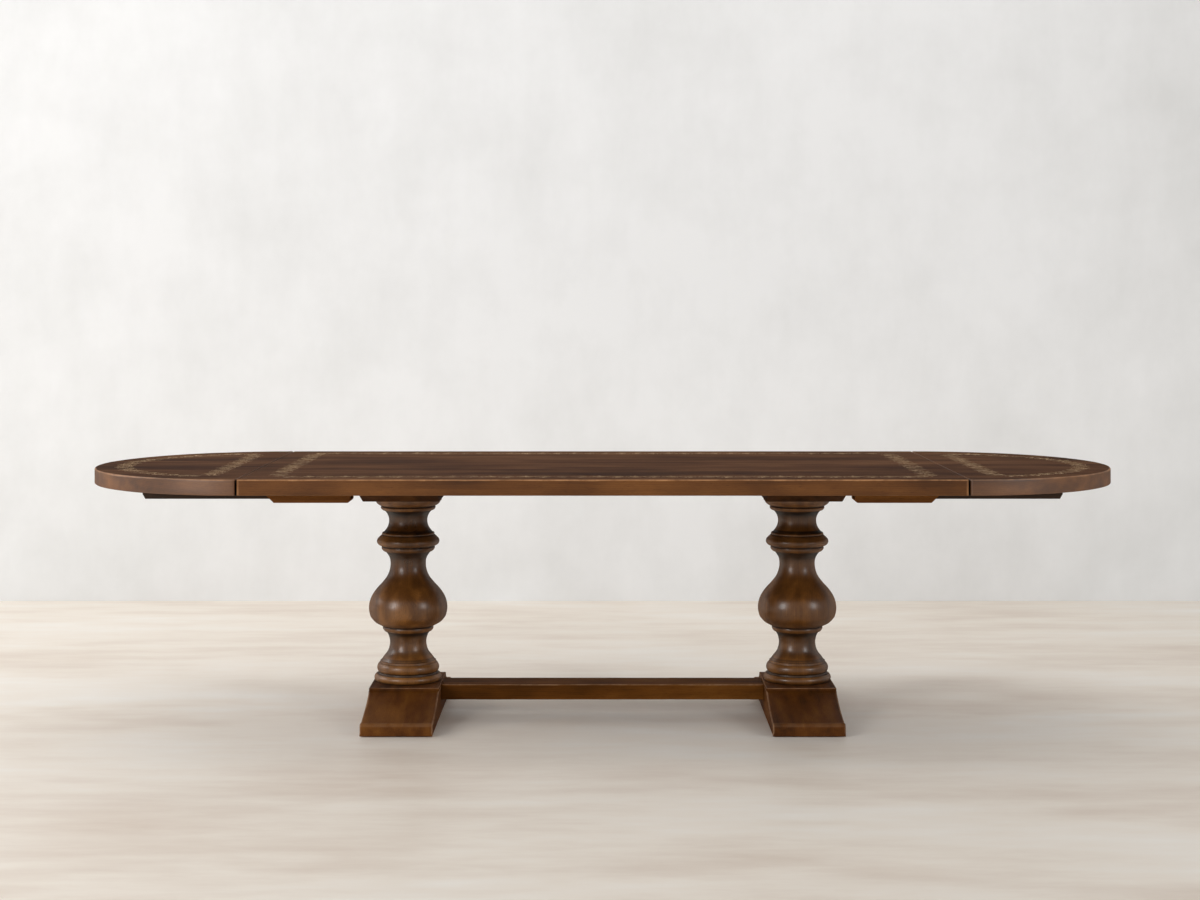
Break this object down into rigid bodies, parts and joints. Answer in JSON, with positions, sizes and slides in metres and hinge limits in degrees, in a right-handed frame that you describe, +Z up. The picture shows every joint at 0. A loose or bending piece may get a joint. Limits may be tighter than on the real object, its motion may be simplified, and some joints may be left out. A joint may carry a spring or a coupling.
{
  "type": "extending dining table",
  "caption": "Trestle dining table with turned columns, a rectangular top and half-elliptical end leaves that slide out on rails.",
  "frame": {"origin": "floor level under the centre of the table", "axes": "+X along the table to its right end seen from the front, -Y out of the front long side, +Z up"},
  "size_m": [3.0958, 1.12, 0.762],
  "materials": {
    "walnut_top": "dark brown stained hardwood, satin lacquer",
    "walnut_frame": "dark brown stained hardwood, satin lacquer, worn edges",
    "walnut_turned": "dark brown stained hardwood, glazed dark in the grooves, satin lacquer",
    "black_rail": "hardwood painted matt black",
    "beech_dowel": "bare beech",
    "nylon_glide": "moulded brown nylon",
    "brass_bush": "turned brass",
    "zinc_steel": "zinc-plated steel",
    "latch_steel": "antique bronzed steel"
  },
  "bodies": {
    "table_base": {"left_foot": "walnut_frame", "right_foot": "walnut_frame", "left_column": "walnut_turned", "right_column": "walnut_turned", "left_bearer": "walnut_frame", "right_bearer": "walnut_frame", "stretcher": "walnut_frame", "main_top": "walnut_top", "stretcher_bolt_plugs": "walnut_frame", "left_front_housing": "walnut_frame", "left_rear_housing": "walnut_frame", "right_front_housing": "walnut_frame", "right_rear_housing": "walnut_frame", "left_tie_rod": "zinc_steel", "right_tie_rod": "zinc_steel", "tie_rod_nuts": "zinc_steel", "tie_rod_washers": "zinc_steel", "left_bearer_screws": "zinc_steel", "right_bearer_screws": "zinc_steel", "left_housing_screws": "zinc_steel", "right_housing_screws": "zinc_steel", "stretcher_bolts": "zinc_steel", "stretcher_bolt_washers": "zinc_steel", "stretcher_barrel_nuts": "zinc_steel", "glide_nails": "zinc_steel", "latch_screws": "zinc_steel", "left_foot_glides": "nylon_glide", "right_foot_glides": "nylon_glide", "left_dowel_bushes": "brass_bush", "right_dowel_bushes": "brass_bush", "latch_plates": "latch_steel", "latch_pivots": "latch_steel"},
    "left_leaf": {"left_leaf": "walnut_top", "left_front_rail": "black_rail", "left_rear_rail": "black_rail", "left_rail_screws": "zinc_steel", "left_leaf_dowels": "beech_dowel", "left_keeper_plates": "latch_steel", "left_keeper_studs": "latch_steel", "left_keeper_screws": "zinc_steel"},
    "right_leaf": {"right_leaf": "walnut_top", "right_front_rail": "black_rail", "right_rear_rail": "black_rail", "right_rail_screws": "zinc_steel", "right_leaf_dowels": "beech_dowel", "right_keeper_plates": "latch_steel", "right_keeper_studs": "latch_steel", "right_keeper_screws": "zinc_steel"},
    "left_front_latch": {"left_front_latch": "latch_steel"},
    "left_rear_latch": {"left_rear_latch": "latch_steel"},
    "right_front_latch": {"right_front_latch": "latch_steel"},
    "right_rear_latch": {"right_rear_latch": "latch_steel"}
  },
  "joints": [
    {"name": "left_leaf_slide", "type": "slide", "parent": "table_base", "child": "left_leaf", "axis": [-1, 0, 0], "range_m": [0, 0.22]},
    {"name": "right_leaf_slide", "type": "slide", "parent": "table_base", "child": "right_leaf", "axis": [1, 0, 0], "range_m": [0, 0.22]},
    {"name": "left_front_latch_swing", "type": "hinge", "parent": "table_base", "child": "left_front_latch", "pos_m": [-0.995, -0.2, 0.7122], "axis": [0, 0, 1], "range_deg": [0, 90]},
    {"name": "left_rear_latch_swing", "type": "hinge", "parent": "table_base", "child": "left_rear_latch", "pos_m": [-0.995, 0.2, 0.7122], "axis": [0, 0, -1], "range_deg": [0, 90]},
    {"name": "right_front_latch_swing", "type": "hinge", "parent": "table_base", "child": "right_front_latch", "pos_m": [0.995, -0.2, 0.7122], "axis": [0, 0, -1], "range_deg": [0, 90]},
    {"name": "right_rear_latch_swing", "type": "hinge", "parent": "table_base", "child": "right_rear_latch", "pos_m": [0.995, 0.2, 0.7122], "axis": [0, 0, 1], "range_deg": [0, 90]}
  ]
}
